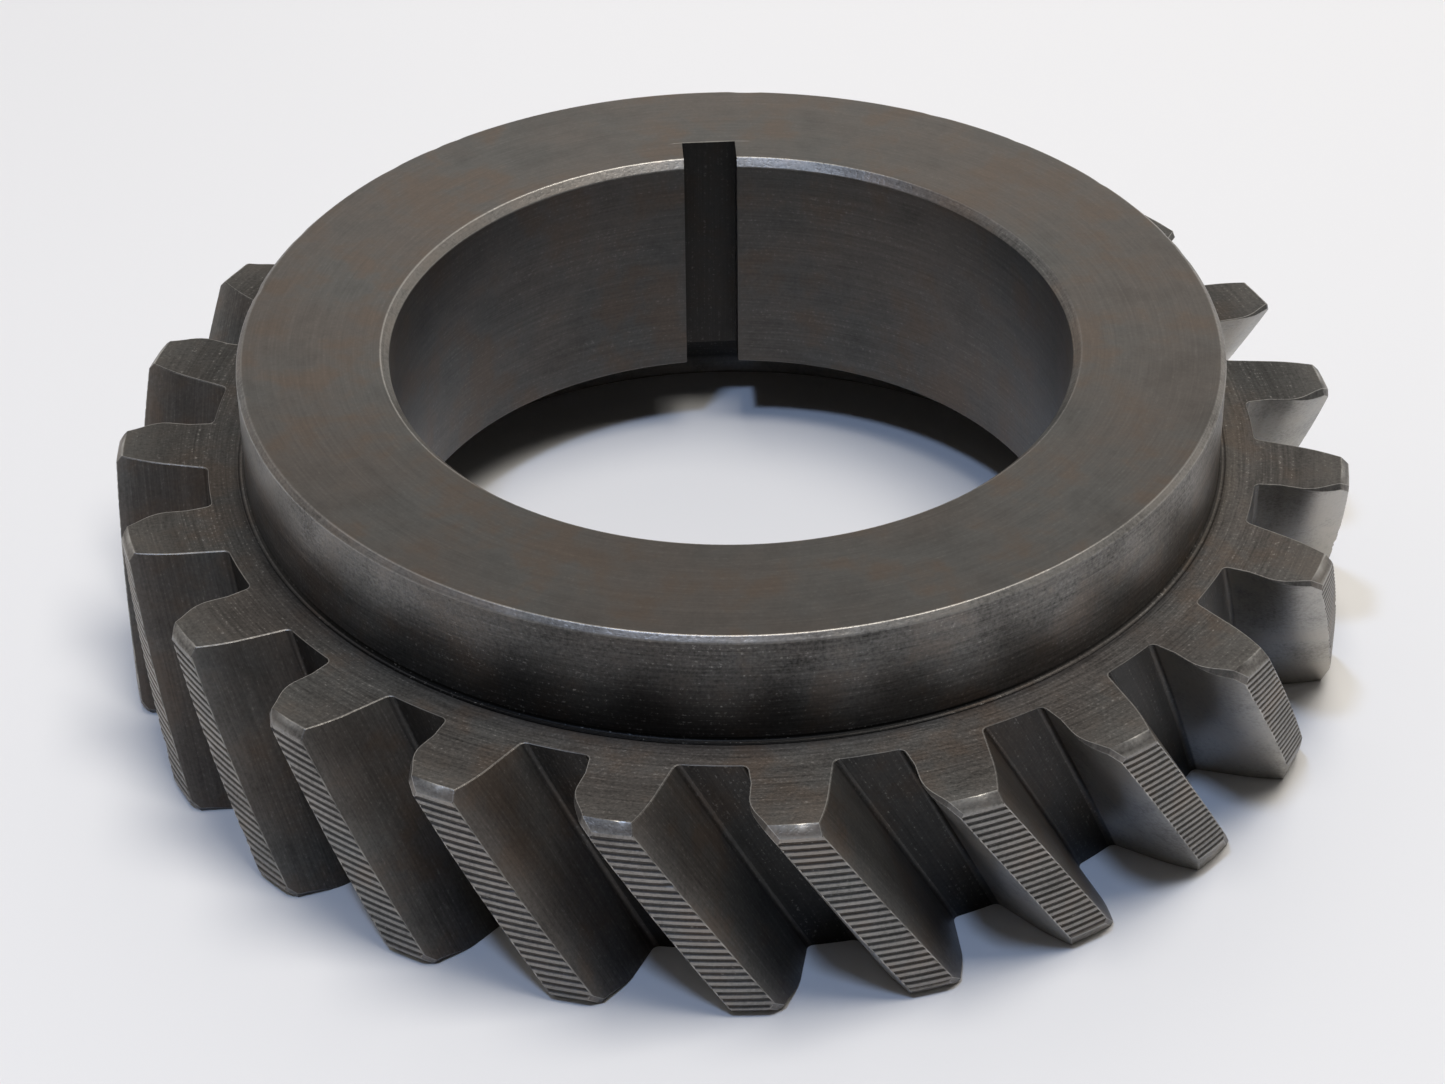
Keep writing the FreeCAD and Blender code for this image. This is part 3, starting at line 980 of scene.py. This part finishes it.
def steel_material():
    """Dark, oiled, heat-treated steel with tool marks, patina, pits and bright edges, and the
    painted shade and highlights that its tone attribute carries.
    """
    material = bpy.data.materials.new("dark_steel")
    nodes = Nodes(material)
    plus, minus, times = nodes.plus, nodes.minus, nodes.times
    grain = nodes.new("Attribute", {"attribute_name": "grain"}).outputs["Vector"]
    tone = nodes.new("Attribute", {"attribute_name": "tone"}).outputs["Vector"]
    parts = nodes.new("SeparateXYZ", Vector=tone)
    wear_and_sheen, rough, dark = (parts.outputs[axis] for axis in "XYZ")
    place = nodes.new("TexCoord").outputs["Object"]

    fine_marks = nodes.noise(nodes.scaled(grain, FINE_MARKS), 1.0, 3.0, 0.6)
    broad_marks = nodes.noise(nodes.scaled(grain, BROAD_MARKS), 1.0, 3.0, 0.6)
    dashes = nodes.noise(nodes.scaled(grain, DASHES), 1.0, 2.0, 0.6)
    cloud = nodes.noise(place, CLOUDS, 4.0, 0.6)
    blotch = nodes.noise(place, BLOTCHES, 4.0, 0.6)
    speck = nodes.noise(place, SPECKS, 3.0, 0.65)
    pits = nodes.noise(place, PITS, 2.0, 0.6)
    streaks = plus(times(fine_marks, 0.9), times(broad_marks, 0.3))
    streaks = plus(streaks, times(dashes, 0.4))

    # Two greys and a brown stain, then tool marks, grit and mottle, then the dark tone: oil
    # film and soot, and painted shade.
    steel = nodes.mix(nodes.remap(cloud, 0.36, 0.64), WARM_STEEL, COOL_STEEL)
    steel = nodes.mix(times(nodes.remap(blotch, 0.46, 0.66), 0.9), steel, BROWN_STAIN)
    marks = times(minus(streaks, 0.8), plus(0.32, times(rough, 2.6)))
    grit = times(minus(speck, 0.5), plus(0.2, times(rough, 2.2)))
    mottle = times(minus(blotch, 0.5), 0.9)
    shade = plus(plus(1.0, marks), plus(grit, mottle))
    shade = times(shade, minus(1.0, times(dark, DARK_TONE_DARKENS)))
    grey = nodes.new("CombineXYZ", X=shade, Y=shade, Z=shade)
    steel = nodes.scaled(steel, grey.outputs[0])

    # Bare metal, in patches where the worn tone is set (real wear, and in places painted sheen
    # and highlight), and as glints where it is rough.
    patchy = plus(times(blotch, 0.9), times(speck, 0.6))
    bare = nodes.math("MULTIPLY", wear_and_sheen, nodes.remap(patchy, 0.45, 0.85, 0.35, 1.0), True)
    glints = times(nodes.remap(speck, 0.56, 0.68), nodes.remap(fine_marks, 0.50, 0.62))
    bare = nodes.math("MAXIMUM", bare, times(glints, times(rough, 0.65)))
    colour = nodes.mix(bare, steel, BARE_STEEL)

    roughness = plus(plus(0.36, times(rough, 0.16)), nodes.remap(cloud, 0.3, 0.7, -0.03, 0.05))
    roughness = minus(roughness, times(bare, 0.06))

    relief = times(streaks, plus(0.06, times(rough, 0.5)))
    pitted = times(nodes.remap(pits, 0.3, 0.55), plus(rough, 0.03))
    bump = nodes.new("Bump", Strength=0.5, Distance=0.00003, Height=plus(relief, pitted))

    shader = nodes.new(
        "BsdfPrincipled", Base_Color=colour, Metallic=0.75, Roughness=roughness,
        Normal=bump.outputs[0],
    )
    nodes.new("OutputMaterial", Surface=shader.outputs[0])
    return material


def table_material():
    """The white laminate the gear lies on."""
    material = bpy.data.materials.new("white_laminate")
    nodes = Nodes(material)
    shader = nodes.new(
        "BsdfPrincipled", Base_Color=TABLE_WHITE, Roughness=TABLE_ROUGHNESS
    )
    nodes.new("OutputMaterial", Surface=shader.outputs[0])
    return material


# ---------------------------------------------------------------- stage


def add_floor():
    mesh = bpy.data.meshes.new("floor")
    disc = bmesh.new()
    bmesh.ops.create_circle(disc, cap_ends=True, segments=96, radius=FLOOR_RADIUS)
    disc.to_mesh(mesh)
    disc.free()
    mesh.materials.append(table_material())
    floor = bpy.data.objects.new("floor", mesh)
    bpy.context.scene.collection.objects.link(floor)


def add_light(name, place, size, power, colour):
    """A soft square light that looks at the gear."""
    lamp = bpy.data.lights.new(name, "AREA")
    lamp.size = size
    lamp.energy = power
    lamp.color = colour
    light = bpy.data.objects.new(name, lamp)
    light.location = place
    light.rotation_euler = Vector(place).to_track_quat("Z", "Y").to_euler()
    bpy.context.scene.collection.objects.link(light)


def add_lights():
    """A blue window at the front left, a warm ceiling, and the pale back of the room."""
    add_light("window", (-0.26, -0.37, 1.11), 0.11, 3.9, WINDOW_BLUE)
    add_light("ceiling", (0.2, 0.0, 1.30), 0.7, 13.4, CEILING_WHITE)
    add_light("back_wall", (0.2, 1.2, 0.40), 0.6, 0.9, ROOM_WHITE)


def add_room():
    """The rest of the room: dim in front of the gear but for a low band, pale behind it."""
    world = bpy.data.worlds.new("room")
    room = Nodes(world)
    direction = room.new("SeparateXYZ", Vector=room.new("TexCoord").outputs["Generated"])
    behind = room.remap(direction.outputs["Y"], -0.5, 0.5, 0.04, 0.42)
    low_band = room.remap(direction.outputs["Z"], 0.2, 0.42, 0.14, 0.0)
    background = room.new(
        "Background", Color=(*ROOM_WHITE, 1), Strength=room.plus(behind, low_band)
    )
    room.new("OutputWorld", Surface=background.outputs[0])
    bpy.context.scene.world = world


def add_camera():
    """The camera looks down at the front of the gear, a little to the left of it."""
    back = Vector((
        math.cos(CAMERA_ELEVATION) * math.cos(CAMERA_AZIMUTH),
        math.cos(CAMERA_ELEVATION) * math.sin(CAMERA_AZIMUTH),
        math.sin(CAMERA_ELEVATION),
    ))
    level_right = Vector((-math.sin(CAMERA_AZIMUTH), math.cos(CAMERA_AZIMUTH), 0))
    level_up = back.cross(level_right)
    right = math.cos(CAMERA_ROLL) * level_right + math.sin(CAMERA_ROLL) * level_up
    up = math.cos(CAMERA_ROLL) * level_up - math.sin(CAMERA_ROLL) * level_right
    place = (
        Vector((0, 0, HEIGHT * MM))
        + CAMERA_DISTANCE * back + CAMERA_ASIDE * right + CAMERA_ABOVE * up
    )

    lens = bpy.data.cameras.new("camera")
    lens.sensor_width = 36
    lens.lens = LENS
    lens.clip_start = 0.01
    camera = bpy.data.objects.new("camera", lens)
    turn = Matrix((right, up, back)).transposed().to_4x4()
    camera.matrix_world = Matrix.Translation(place) @ turn
    bpy.context.scene.collection.objects.link(camera)
    bpy.context.scene.camera = camera


def main():
    gear = make_gear()
    gear.data.materials.append(steel_material())
    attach(gear, "root")
    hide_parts(NODE)
    add_floor()
    add_lights()
    add_room()
    add_camera()
    bpy.context.scene.view_settings.view_transform = "Standard"


main()
